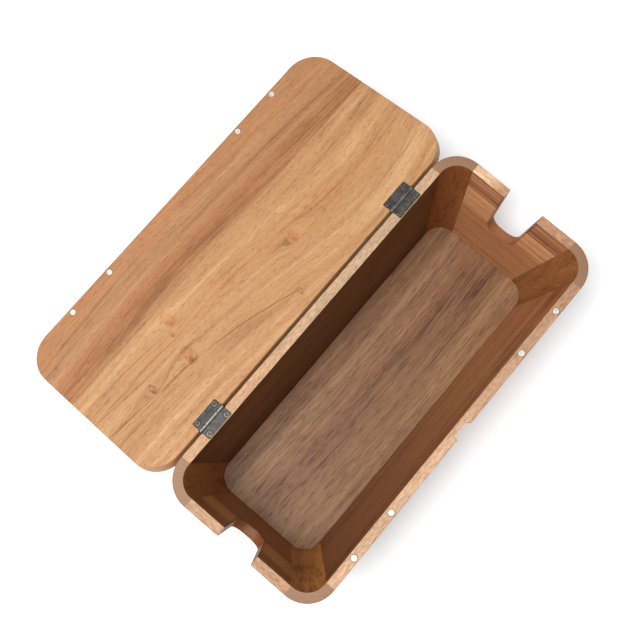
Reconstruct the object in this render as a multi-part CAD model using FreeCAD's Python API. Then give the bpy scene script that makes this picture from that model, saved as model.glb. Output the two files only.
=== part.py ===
import FreeCAD
import Part
import math
import os

from FreeCAD import Vector

# Cable management box: a long wooden box whose four walls lean in towards its base, with a flat
# hinged lid that lies open behind it. Millimetres, +Z up, X along the length, the lid opens towards
# +Y, and the origin is the middle of the underside.

# Box body
RIM_LENGTH = 410.0
RIM_WIDTH = 176.0
BODY_HEIGHT = 135.0
WALL_LEAN = 8.0
RIM_WALL = 9.6
CORNER_RADIUS = 30.0
PANEL_THICKNESS = 9.0
PANEL_CLEARANCE = 0.1
EDGE_EASING = 0.9

# Cable slots in the two end walls
SLOT_WIDTH = 38.0
SLOT_FLOOR_WIDTH = 31.0
SLOT_DEPTH = 71.0
SLOT_CORNER = 13.0

# Finger notch in the front wall
NOTCH_LENGTH = 20.0
NOTCH_DEPTH = 4.3
NOTCH_CORNER = 5.0
NOTCH_OFFSET = 4.0
NOTCH_REACH = 40.0

# Lid
LID_THICKNESS = 13.0
LID_BACK_BOARD = 109.0
PARTING_GAP = 0.2
LID_PAST_FLAT = 12.5

# Hinges
HINGE_END_INSET = 73.0
HINGE_LENGTH = 30.0
HINGE_AXIS_OUT = 1.6
LEAF_REACH = 9.0
LEAF_THICKNESS = 1.0
LEAF_CORNER = 1.2
KNUCKLE_RADIUS = 2.2
KNUCKLE_SHARE = 0.5
KNUCKLE_PLAY = 0.15
KNUCKLE_RELIEF = 0.4
PIN_RADIUS = 1.2
PIN_RUNNING = 0.05
PIN_HEAD = 0.7

# Hinge screws
SCREW_SPACING = 22.4
SCREW_INSET = 6.0
SCREW_HEAD_RADIUS = 2.8
SCREW_HEAD_RIM = 0.3
SCREW_SHANK_RADIUS = 1.25
SCREW_LENGTH = 10.0
SCREW_TIP = 2.0
CROSS_LENGTH = 3.4
CROSS_WIDTH = 0.7
CROSS_DEPTH = 0.9

# Closing magnets
MAGNET_END_INSETS = (62.5, 113.0)
MAGNET_INSET = 4.6
MAGNET_RADIUS = 3.0
MAGNET_THICKNESS = 3.0
MAGNET_HOLE_CLEARANCE = 0.3

# Worked out from the sizes above
LEAN = math.tan(math.radians(WALL_LEAN))
AXIS_Y = RIM_WIDTH / 2 + HINGE_AXIS_OUT
AXIS_Z = BODY_HEIGHT + PARTING_GAP / 2
LID_FACE_Z = BODY_HEIGHT + PARTING_GAP
LID_SWING = 180.0 + LID_PAST_FLAT
BEYOND = 5.0


def box(low, high):
    """A block between two corners."""
    size = [b - a for a, b in zip(low, high)]
    return Part.makeBox(size[0], size[1], size[2], Vector(*low))


def rounded_outline(length, width, radius, z):
    """A closed wire: a rectangle with round corners, centred on the Z axis."""
    hx = length / 2 - radius
    hy = width / 2 - radius
    edges = []
    for turn, (cx, cy) in enumerate(((hx, hy), (-hx, hy), (-hx, -hy), (hx, -hy))):
        centre = Vector(cx, cy, z)
        start, middle, end = (
            centre + Vector(radius * math.cos(a), radius * math.sin(a), 0)
            for a in (math.pi / 2 * (turn + step) for step in (0, 0.5, 1))
        )
        edges.append(Part.Arc(start, middle, end).toShape())
    sides = [
        Part.LineSegment(a.Vertexes[-1].Point, b.Vertexes[0].Point).toShape()
        for a, b in zip(edges, edges[1:] + edges[:1])
    ]
    return Part.Wire([edge for pair in zip(edges, sides) for edge in pair])


def leaning_block(length, width, radius, low, high):
    """A rounded block whose sides keep the walls' lean; length and width are those at the rim."""
    wires = []
    for z in (low, high):
        inward = 2 * (BODY_HEIGHT - z) * LEAN
        wires.append(rounded_outline(length - inward, width - inward, radius, z))
    return Part.makeLoft(wires, True, True)


def prism_between(low_points, high_points):
    """A solid with flat sides between two outlines that have the same number of corners."""
    lows = [Vector(*p) for p in low_points]
    highs = [Vector(*p) for p in high_points]
    faces = [Part.Face(Part.makePolygon(ring + ring[:1])) for ring in (lows, highs)]
    for i in range(len(lows)):
        j = (i + 1) % len(lows)
        faces.append(Part.Face(Part.makePolygon([lows[i], lows[j], highs[j], highs[i], lows[i]])))
    solid = Part.Solid(Part.Shell(faces))
    if solid.Volume < 0:
        solid.reverse()
    return solid


def sector(x_low, x_high, y_low, y_high):
    """The leaning space that one wall or post takes: its sides are given at the rim."""
    rings = []
    for z in (-BEYOND, BODY_HEIGHT + BEYOND):
        inward = (BODY_HEIGHT - z) * LEAN
        xs = [x - math.copysign(inward, x) for x in (x_low, x_high)]
        ys = [y - math.copysign(inward, y) for y in (y_low, y_high)]
        rings.append([(xs[0], ys[0], z), (xs[1], ys[0], z), (xs[1], ys[1], z), (xs[0], ys[1], z)])
    return prism_between(*rings)


def eased(solid, choose, radius=EDGE_EASING):
    """The solid with the chosen edges rounded over."""
    return solid.makeFillet(radius, [edge for edge in solid.Edges if choose(edge)])


def level(edge, z):
    """True for an edge that lies flat at the height z."""
    return abs(edge.BoundBox.ZMin - z) < 0.001 and abs(edge.BoundBox.ZMax - z) < 0.001


def shell():
    """The four walls and four posts as one ring, with the rim and the foot eased."""
    outer = leaning_block(RIM_LENGTH, RIM_WIDTH, CORNER_RADIUS, 0, BODY_HEIGHT)
    outer = eased(outer, lambda edge: level(edge, BODY_HEIGHT) or level(edge, 0))
    inner = leaning_block(
        RIM_LENGTH - 2 * RIM_WALL,
        RIM_WIDTH - 2 * RIM_WALL,
        CORNER_RADIUS - RIM_WALL,
        -BEYOND,
        BODY_HEIGHT + BEYOND,
    )
    return outer.cut(inner)


def slot_cutter(side):
    """The open-topped U of one end wall, cut straight through along X and narrower at its floor."""
    floor = BODY_HEIGHT - SLOT_DEPTH
    taper = (SLOT_WIDTH - SLOT_FLOOR_WIDTH) / 2 / SLOT_DEPTH
    low_half = SLOT_FLOOR_WIDTH / 2
    top_half = SLOT_WIDTH / 2 + BEYOND * taper
    top = BODY_HEIGHT + BEYOND
    outline = [(-low_half, floor), (low_half, floor), (top_half, top), (-top_half, top)]
    near = side * (RIM_LENGTH / 2 - RIM_WALL - BODY_HEIGHT * LEAN)
    start, end = sorted((near, near + side * RIM_LENGTH / 2), reverse=True)
    block = prism_between([(start, y, z) for y, z in outline], [(end, y, z) for y, z in outline])
    corners = [e for e in block.Edges if level(e, floor) and e.BoundBox.XLength > 1]
    return block.makeFillet(SLOT_CORNER, corners)


def notch_cutter():
    """The finger notch: a straight-down scoop that runs out of the leaning front face."""
    y = -RIM_WIDTH / 2
    half = NOTCH_LENGTH / 2
    low = BODY_HEIGHT - NOTCH_REACH
    scoop = box((-half, y - BEYOND, low), (half, y + NOTCH_DEPTH, BODY_HEIGHT + BEYOND))
    scoop = scoop.makeFillet(
        NOTCH_CORNER - 0.01,
        [e for e in scoop.Edges if e.BoundBox.ZLength > 1 and e.BoundBox.YMin > y],
    )
    scoop.translate(Vector(NOTCH_OFFSET, 0, 0))
    return scoop


def along_x(radius, x_low, x_high):
    """A round bar on the hinge axis."""
    return Part.makeCylinder(radius, x_high - x_low, Vector(x_low, AXIS_Y, AXIS_Z), Vector(1, 0, 0))


def flip(shape):
    """The shape mirrored through the level plane of the hinge axis, which maps box onto lid."""
    return shape.mirror(Vector(0, 0, AXIS_Z), Vector(0, 0, 1))


def leaf_plate(x):
    """The flat of a box leaf, let in flush with the rim, from its inner edge to the hinge axis."""
    low = BODY_HEIGHT - LEAF_THICKNESS
    half = HINGE_LENGTH / 2
    plate = box((x - half, RIM_WIDTH / 2 - LEAF_REACH, low), (x + half, AXIS_Y, BODY_HEIGHT))
    far = [e for e in plate.Edges if e.BoundBox.ZLength > 0.5 and e.BoundBox.YMax < RIM_WIDTH / 2]
    return plate.makeFillet(LEAF_CORNER, far)


def knuckle_spans(x, middle):
    """The stretches of the hinge axis that the middle or the two end knuckles take."""
    half = HINGE_LENGTH / 2
    inner = half * KNUCKLE_SHARE
    if middle:
        return [(x - inner + KNUCKLE_PLAY, x + inner - KNUCKLE_PLAY)]
    return [(x - half, x - inner), (x + inner, x + half)]


def hinge_leaf(x, middle):
    """One leaf in the box's place: plate, its own knuckles, and room for the other leaf's."""
    plate = leaf_plate(x)
    bore = PIN_RADIUS + (PIN_RUNNING if middle else 0)
    room = KNUCKLE_RADIUS + KNUCKLE_PLAY
    for low, high in knuckle_spans(x, not middle):
        low -= KNUCKLE_PLAY
        high += KNUCKLE_PLAY
        plate = plate.cut(along_x(room, low, high))
        plate = plate.cut(box((low, AXIS_Y - room, 0), (high, AXIS_Y, AXIS_Z)))
    for low, high in knuckle_spans(x, middle):
        plate = plate.fuse(along_x(KNUCKLE_RADIUS, low, high))
    plate = plate.cut(along_x(bore, x - HINGE_LENGTH, x + HINGE_LENGTH)).removeSplitter()
    return plate.cut([screw_body(sx) for sx in screw_places(x)])


def hinge_pin(x):
    """The pin of one hinge, with a domed head at each end."""
    half = HINGE_LENGTH / 2
    pin = along_x(PIN_RADIUS, x - half, x + half)
    for side in (-1, 1):
        face = Vector(x + side * half, AXIS_Y, AXIS_Z)
        head = Part.makeCone(PIN_RADIUS + 0.4, PIN_RADIUS - 0.4, PIN_HEAD, face, Vector(side, 0, 0))
        pin = pin.fuse(head)
    return pin.removeSplitter()


def hinge_seat(x):
    """What one hinge takes out of the wood: the leaf's recess and the knuckle's relief."""
    half = HINGE_LENGTH / 2
    recess = leaf_plate(x).fuse(
        box(
            (x - half, RIM_WIDTH / 2 - LEAF_REACH + LEAF_CORNER, BODY_HEIGHT - LEAF_THICKNESS),
            (x + half, AXIS_Y, BODY_HEIGHT + BEYOND),
        )
    )
    recess = recess.fuse(leaf_plate(x).translated(Vector(0, 0, LEAF_THICKNESS)))
    relief = along_x(KNUCKLE_RADIUS + KNUCKLE_RELIEF, x - half - PIN_HEAD, x + half + PIN_HEAD)
    return recess.fuse(relief)


def screw_places(x):
    """Where the two screws of a leaf stand along X."""
    return [x - SCREW_SPACING / 2, x + SCREW_SPACING / 2]


def screw_body(x):
    """A countersunk wood screw, flush with the rim, without its cross recess: also its own hole."""
    y = RIM_WIDTH / 2 - SCREW_INSET
    down = Vector(0, 0, -1)
    cone_depth = SCREW_HEAD_RADIUS - SCREW_SHANK_RADIUS
    tip_z = BODY_HEIGHT - SCREW_LENGTH
    rim = Part.makeCylinder(SCREW_HEAD_RADIUS, SCREW_HEAD_RIM, Vector(x, y, BODY_HEIGHT), down)
    cone_top = Vector(x, y, BODY_HEIGHT - SCREW_HEAD_RIM)
    cone = Part.makeCone(SCREW_HEAD_RADIUS, SCREW_SHANK_RADIUS, cone_depth, cone_top, down)
    shank_top = cone_top - Vector(0, 0, cone_depth)
    shank = Part.makeCylinder(SCREW_SHANK_RADIUS, shank_top.z - tip_z - SCREW_TIP, shank_top, down)
    tip = Part.makeCone(SCREW_SHANK_RADIUS, 0, SCREW_TIP, Vector(x, y, tip_z + SCREW_TIP), down)
    return rim.fuse([cone, shank, tip]).removeSplitter()


def screw(x):
    """One screw with its cross recess."""
    y = RIM_WIDTH / 2 - SCREW_INSET
    body = screw_body(x)
    for along, across in ((CROSS_LENGTH / 2, CROSS_WIDTH / 2), (CROSS_WIDTH / 2, CROSS_LENGTH / 2)):
        low = (x - along, y - across, BODY_HEIGHT - CROSS_DEPTH)
        body = body.cut(box(low, (x + along, y + across, BODY_HEIGHT + BEYOND)))
    return body


def magnet_disc(x, clearance=0.0):
    """A magnet, or with a clearance the hole it is glued into, flush with the rim."""
    base = Vector(x, -RIM_WIDTH / 2 + MAGNET_INSET, BODY_HEIGHT - MAGNET_THICKNESS)
    height = MAGNET_THICKNESS + (BEYOND if clearance else 0)
    disc = Part.makeCylinder(MAGNET_RADIUS + clearance, height, base)
    if clearance:
        return disc
    top = [e for e in disc.Edges if level(e, BODY_HEIGHT)]
    return disc.makeFillet(EDGE_EASING / 3, top)


def magnet_places():
    """Where the magnets stand along X, from left to right."""
    outer, inner = (RIM_LENGTH / 2 - inset for inset in MAGNET_END_INSETS)
    return (-outer, -inner, inner, outer)


def lid_slab():
    """The closed lid as one board: its edges carry the walls' lean on past the rim."""
    growth = 2 * LID_THICKNESS * LEAN
    wires = [
        rounded_outline(RIM_LENGTH, RIM_WIDTH, CORNER_RADIUS, LID_FACE_Z),
        rounded_outline(
            RIM_LENGTH + growth, RIM_WIDTH + growth, CORNER_RADIUS, LID_FACE_Z + LID_THICKNESS
        ),
    ]
    slab = Part.makeLoft(wires, True, True)
    return eased(slab, lambda edge: level(edge, LID_FACE_Z) or level(edge, LID_FACE_Z + LID_THICKNESS))


def opened(shape):
    """The shape swung from the closed lid's place to where the lid rests behind the box."""
    turned = shape.copy()
    turned.rotate(Vector(0, AXIS_Y, AXIS_Z), Vector(1, 0, 0), -LID_SWING)
    return turned


def box_nodes(hinges, magnets, wood_cuts):
    """Every piece that stays with the box."""
    ring = shell()
    hx = RIM_LENGTH / 2 + BEYOND
    hy = RIM_WIDTH / 2 + BEYOND
    ax = RIM_LENGTH / 2 - CORNER_RADIUS
    ay = RIM_WIDTH / 2 - CORNER_RADIUS
    nodes = {
        "front_wall": ring.common(sector(-ax, ax, -hy, -ay)).cut([notch_cutter()] + magnets),
        "back_wall": ring.common(sector(-ax, ax, ay, hy)).cut(wood_cuts),
        "left_end_wall": ring.common(sector(-hx, -ax, -ay, ay)).cut(slot_cutter(-1)),
        "right_end_wall": ring.common(sector(ax, hx, -ay, ay)).cut(slot_cutter(1)),
    }
    for y_name, ys in (("front", (-hy, -ay)), ("back", (ay, hy))):
        for x_name, xs in (("left", (-hx, -ax)), ("right", (ax, hx))):
            nodes[f"corner_post_{y_name}_{x_name}"] = ring.common(sector(*xs, *ys))
    nodes["bottom_panel"] = leaning_block(
        RIM_LENGTH - 2 * (RIM_WALL + PANEL_CLEARANCE),
        RIM_WIDTH - 2 * (RIM_WALL + PANEL_CLEARANCE),
        CORNER_RADIUS - RIM_WALL - PANEL_CLEARANCE,
        0,
        PANEL_THICKNESS,
    )
    for number, x in enumerate(magnet_places(), 1):
        nodes[f"rim_magnet_{number}"] = magnet_disc(x)
    for side, x in hinges:
        nodes[f"{side}_hinge_box_leaf"] = hinge_leaf(x, middle=False)
        nodes[f"{side}_hinge_pin"] = hinge_pin(x)
        nodes[f"{side}_hinge_box_screws"] = Part.makeCompound([screw(sx) for sx in screw_places(x)])
    return nodes


def lid_nodes(hinges, magnets, wood_cuts):
    """Every piece that swings with the lid, in its open place."""
    cuts = [flip(cut) for cut in wood_cuts + magnets]
    slab = lid_slab().cut(cuts)
    reach = RIM_LENGTH
    split_y = AXIS_Y - LID_BACK_BOARD
    nodes = {
        "lid_front_board": slab.common(box((-reach, -reach, 0), (reach, split_y, 2 * BODY_HEIGHT))),
        "lid_back_board": slab.common(box((-reach, split_y, 0), (reach, reach, 2 * BODY_HEIGHT))),
    }
    for number, x in enumerate(magnet_places(), 1):
        nodes[f"lid_magnet_{number}"] = flip(magnet_disc(x))
    for side, x in hinges:
        nodes[f"{side}_hinge_lid_leaf"] = flip(hinge_leaf(x, middle=True))
        screws = Part.makeCompound([screw(sx) for sx in screw_places(x)])
        nodes[f"{side}_hinge_lid_screws"] = flip(screws)
    return {name: opened(shape) for name, shape in nodes.items()}


def main():
    hinge_x = RIM_LENGTH / 2 - HINGE_END_INSET
    hinges = (("left", -hinge_x), ("right", hinge_x))
    magnets = [magnet_disc(x, MAGNET_HOLE_CLEARANCE) for x in magnet_places()]
    seats = [hinge_seat(x) for _, x in hinges]
    screws = [screw_body(sx) for _, x in hinges for sx in screw_places(x)]
    nodes = box_nodes(hinges, magnets, seats + screws)
    nodes.update(lid_nodes(hinges, magnets, seats + screws))
    os.makedirs("parts", exist_ok=True)
    for name, shape in nodes.items():
        shape.exportStep(f"parts/{name}.step")
        count = len(shape.Solids)
        print(f"{name:26s} solids {count} volume {shape.Volume:10.1f} valid {shape.isValid()}")


main()
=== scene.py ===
"""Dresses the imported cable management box: oiled timber, dark hinges, and nickel magnets.

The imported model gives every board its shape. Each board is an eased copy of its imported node, and
the metal pieces are surfaces worked out with numpy. Lengths are in metres, in the frame's axes.
"""

import logging
import math
from dataclasses import dataclass, field
from enum import Enum

import bmesh
import bpy
import numpy as np
from mathutils import Matrix, Vector

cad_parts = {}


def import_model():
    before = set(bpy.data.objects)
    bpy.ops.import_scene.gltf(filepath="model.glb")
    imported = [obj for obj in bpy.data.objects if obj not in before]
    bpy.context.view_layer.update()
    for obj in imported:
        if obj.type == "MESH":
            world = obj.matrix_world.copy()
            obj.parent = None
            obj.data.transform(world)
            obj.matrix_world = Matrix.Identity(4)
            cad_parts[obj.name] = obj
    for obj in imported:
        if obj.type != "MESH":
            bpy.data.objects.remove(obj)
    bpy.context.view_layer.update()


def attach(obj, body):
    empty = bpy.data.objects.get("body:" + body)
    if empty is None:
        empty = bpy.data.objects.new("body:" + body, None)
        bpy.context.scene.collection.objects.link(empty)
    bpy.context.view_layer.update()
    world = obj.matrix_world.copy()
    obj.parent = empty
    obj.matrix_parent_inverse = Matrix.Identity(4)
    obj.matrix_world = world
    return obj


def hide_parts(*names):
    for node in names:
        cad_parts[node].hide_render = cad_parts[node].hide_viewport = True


LOG = logging.getLogger("cable_box")
MM = 0.001
FLAT_ANGLE = math.radians(0.3)
ARRIS_ANGLE = math.radians(30)
METAL_CREASE = math.radians(32)
CORNER_GRID = 2e-7
WELD_REACH = 1e-7
JOINT_REACH = 0.02 * MM
GLUE_LINE = 0.1 * MM

Socket = bpy.types.NodeSocket
Colour = tuple[float, float, float]
Triple = tuple[float, float, float]
Pair = tuple[float, float]
Surface = tuple[np.ndarray, np.ndarray]


@dataclass(frozen=True)
class Box:
    """The sizes of the real box that the dressing needs."""

    rim_length: float = 410 * MM
    rim_width: float = 176 * MM
    rim_height: float = 135 * MM
    lean: float = math.tan(math.radians(8.0))
    post_leg: float = 30 * MM
    hinge_place: float = 132 * MM
    hinge_out: float = 1.6 * MM
    parting: float = 0.2 * MM
    lid_past_flat: float = math.radians(12.5)
    lid_joint: float = 109 * MM
    slot_floor: float = 64 * MM
    slot_corner: float = 13 * MM
    slot_halves: Pair = (15.5 * MM, 19 * MM)

    @property
    def axis_y(self) -> float:
        """The hinge axis's distance behind the middle of the box."""
        return self.rim_width / 2 + self.hinge_out

    @property
    def axis_z(self) -> float:
        """The hinge axis's height."""
        return self.rim_height + self.parting / 2


BOX = Box()


class Graph:
    """The nodes of one material, added and wired one call at a time."""

    SHIFT_WAY: Triple = (1.0, 1.7, 0.6)
    MIX_SHARE, MIX_UNDER, MIX_OVER, MIXED = 0, 6, 7, 2

    def __init__(self, name: str) -> None:
        """Makes an empty material.

        Args:
            name: The material's name.
        """
        self.material = bpy.data.materials.new(name)
        self.material.use_nodes = True
        self.tree = self.material.node_tree
        self.tree.nodes.clear()
        self.place: Socket = self.add("ShaderNodeTexCoord").outputs["Object"]

    def add(self, kind: str, inputs: dict | None = None, **settings) -> bpy.types.Node:
        """Adds a node.

        Args:
            kind: Blender's name of the node type.
            inputs: Input names or numbers, each with a value or a socket.
            settings: The node's own options.

        Returns:
            The new node.
        """
        node = self.tree.nodes.new(kind)
        for option, value in settings.items():
            setattr(node, option, value)
        for key, value in (inputs or {}).items():
            if isinstance(value, Socket):
                self.tree.links.new(value, node.inputs[key])
            else:
                node.inputs[key].default_value = value
        return node

    def math(self, operation: str, *values: Socket | float) -> Socket:
        """A Math node's result for the operation on the values."""
        return self.add("ShaderNodeMath", dict(enumerate(values)), operation=operation).outputs[0]

    def vector(self, operation: str, *values: Socket | Triple, out: str = "Vector") -> Socket:
        """A Vector Math node's result for the operation on the values."""
        inputs = dict(enumerate(values))
        return self.add("ShaderNodeVectorMath", inputs, operation=operation).outputs[out]

    def length(self, vector: Socket) -> Socket:
        """The vector's length."""
        return self.vector("LENGTH", vector, out="Value")

    def dot(self, first: Socket, second: Socket | Triple) -> Socket:
        """The dot product of two vectors."""
        return self.vector("DOT_PRODUCT", first, second, out="Value")

    def apart(self, first: Socket, second: Socket | float) -> Socket:
        """How far apart two values are."""
        return self.math("ABSOLUTE", self.math("SUBTRACT", first, second))

    def axes(self, point: Socket) -> tuple[Socket, ...]:
        """The point's X, Y and Z."""
        return tuple(self.add("ShaderNodeSeparateXYZ", {0: point}).outputs)

    def noise(
        self, point: Socket, per_metre: Triple, detail: float = 2.0, shift: float = 0.0
    ) -> Socket:
        """Smooth noise from 0 to 1.

        Args:
            point: Where it is read.
            per_metre: How many of its features a metre holds along each axis.
            detail: How many finer layers are added.
            shift: Moves the pattern, so that two boards differ.

        Returns:
            The noise, about 0.5 on average.
        """
        scaled = self.vector("MULTIPLY", point, per_metre)
        moved = self.vector("ADD", scaled, tuple(shift * way for way in self.SHIFT_WAY))
        inputs = {"Vector": moved, "Scale": 1.0, "Detail": detail}
        return self.add("ShaderNodeTexNoise", inputs).outputs["Fac"]

    def step(
        self, value: Socket, low: float, high: float, to: Pair = (0.0, 1.0), how: str = "SMOOTHSTEP"
    ) -> Socket:
        """A smooth step from to[0] below low to to[1] above high."""
        inputs = dict(zip(range(5), (value, low, high, *to)))
        return self.add("ShaderNodeMapRange", inputs, interpolation_type=how).outputs["Result"]

    def linear(self, value: Socket, low: float, high: float, to: Pair = (0.0, 1.0)) -> Socket:
        """A straight line from to[0] at low to to[1] at high, held beyond them."""
        return self.step(value, low, high, to, "LINEAR")

    def mix(
        self, share: Socket | float, under: Socket | Colour, over: Socket | Colour, how: str = "MIX"
    ) -> Socket:
        """Mixes two colours.

        Args:
            share: 0 gives the colour below alone, and 1 the full effect of the one laid over it.
            under: The colour below.
            over: The colour laid over it.
            how: Blender's name of the way in which it is laid over.

        Returns:
            The mixed colour.
        """
        node = self.add("ShaderNodeMix", {self.MIX_SHARE: share}, data_type="RGBA", blend_type=how)
        for number, colour in ((self.MIX_UNDER, under), (self.MIX_OVER, over)):
            if isinstance(colour, Socket):
                self.tree.links.new(colour, node.inputs[number])
            else:
                node.inputs[number].default_value = (*colour, 1.0)
        return node.outputs[self.MIXED]

    def tinted(
        self, colour: Socket, tint: Socket | Colour, share: Socket | float = 1.0
    ) -> Socket:
        """The colour multiplied by a tint, as far as the share says."""
        return self.mix(share, colour, tint, "MULTIPLY")

    def ramp(self, value: Socket, stops: tuple[tuple[float, Colour], ...]) -> Socket:
        """Turns a value into a colour.

        Args:
            value: The value, from 0 to 1.
            stops: Each a place from 0 to 1 and its colour.

        Returns:
            The colour, eased from stop to stop.
        """
        node = self.add("ShaderNodeValToRGB", {"Fac": value})
        node.color_ramp.interpolation = "EASE"
        marks = node.color_ramp.elements
        while len(marks) < len(stops):
            marks.new(0.5)
        for mark, (where, colour) in zip(marks, stops):
            mark.position = where
            mark.color = (*colour, 1.0)
        return node.outputs["Color"]

    def shade(
        self, colour: Socket, roughness: Socket, height: Socket, relief: float, **fixed
    ) -> bpy.types.Material:
        """Ends the graph in a shader.

        Args:
            colour: The base colour.
            roughness: The roughness.
            height: The relief's pattern from 0 to 1.
            relief: The relief's full depth.
            fixed: Constant values of the shader's other sockets, with _ for a space.

        Returns:
            The finished material.
        """
        bump = self.add("ShaderNodeBump", {"Height": height, "Distance": relief, "Strength": 1.0})
        inputs = {"Base Color": colour, "Roughness": roughness, "Normal": bump.outputs[0]}
        inputs.update({name.replace("_", " "): value for name, value in fixed.items()})
        shader = self.add("ShaderNodeBsdfPrincipled", inputs)
        self.add("ShaderNodeOutputMaterial", {"Surface": shader.outputs[0]})
        return self.material


class Grain(Enum):
    """Which way a board's grain runs, as the turn that lays it along local X."""

    ALONG_BOX = (0.0, 0.0, 0.0)
    ACROSS_BOX = (0.0, 0.0, math.pi / 2)
    UPRIGHT = (0.0, -math.pi / 2, 0.0)
    ALONG_LID = (-BOX.lid_past_flat, 0.0, 0.0)


class Weave(Enum):
    """The timber's patterns: features per metre along and across the grain, detail, and shift."""

    DRIFT = (2.6, 8.0, 1.0, 0.0)
    BROAD = (1.4, 27.0, 2.0, 1.0)
    STREAK = (2.6, 115.0, 2.0, 2.0)
    THIN = (5.5, 360.0, 2.0, 3.0)
    FIBRE = (34.0, 1300.0, 2.0, 4.0)
    FIGURE = (38.0, 30.0, 2.0, 6.0)
    RAGGED = (24.0, 430.0, 2.0, 7.0)
    HUE = (1.1, 21.0, 1.0, 8.0)
    FLECK = (190.0, 800.0, 2.0, 12.0)
    CLOUD = (26.0, 150.0, 1.0, 15.0)
    SWEEP = (5.0, 20.0, 1.0, 17.0)
    FLOW = (1.9, 58.0, 1.0, 21.0)
    PATCH = (7.0, 34.0, 1.0, 22.0)


class Stain(Enum):
    """The tints that marks in the timber multiply its colour by."""

    VEIN = (0.42, 0.30, 0.24)
    LINE = (0.40, 0.26, 0.20)
    KNOT_BLUSH = (0.98, 0.80, 0.68)
    KNOT_RIM = (0.50, 0.34, 0.25)
    KNOT_HEART = (0.46, 0.30, 0.22)


COARSE = {Weave.BROAD: 1.0, Weave.STREAK: 0.45, Weave.FIGURE: 0.30}
FINE = {Weave.STREAK: 0.50, Weave.THIN: 0.62, Weave.RAGGED: 0.60, Weave.FIBRE: 0.45}
HUES = ((0.32, (1.02, 0.96, 0.92)), (0.5, (1.0, 1.0, 1.0)), (0.68, (0.99, 1.01, 0.96)))
VEIN_LEVELS = (0.43, 0.50, 0.57)
VEIN_WIDTH = 0.011
PORE_DEPTHS = (0.75, 0.95, 1.0)
PORES_ACROSS = 1050.0


@dataclass(frozen=True)
class Knot:
    """A small knot that the grain flows round: its place on the board and its size."""

    along: float
    across: float
    size: float
    darkness: float

    @property
    def middle(self) -> Pair:
        """Where it is on the board."""
        return self.along, self.across

    @property
    def swerve(self) -> Pair:
        """How far along and across the grain it bends it."""
        return 6.0 * self.size, 2.6 * self.size


@dataclass(frozen=True)
class Bow:
    """A broad swell in the grain: lines near its middle are moved sideways by its rise."""

    along: float
    reach: float
    across: float
    spread: float
    rise: float


@dataclass(frozen=True)
class Vein:
    """A fine dark line between two places along the board, on a parabola across it."""

    start: float
    end: float
    across: float
    slope: float
    bend: float
    width: float
    strength: float


@dataclass(frozen=True)
class Band:
    """A streak of another tone that follows the grain at one place across the board."""

    across: float
    width: float
    tint: Colour
    strength: float


@dataclass(frozen=True)
class Strip:
    """One of the narrow boards that an end wall is glued up from, by its heights."""

    low: float
    high: float
    tint: Colour
    contrast: float


@dataclass(frozen=True)
class Tones:
    """A timber's darkest, usual and lightest colour."""

    dark: Colour
    middle: Colour
    light: Colour


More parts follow.
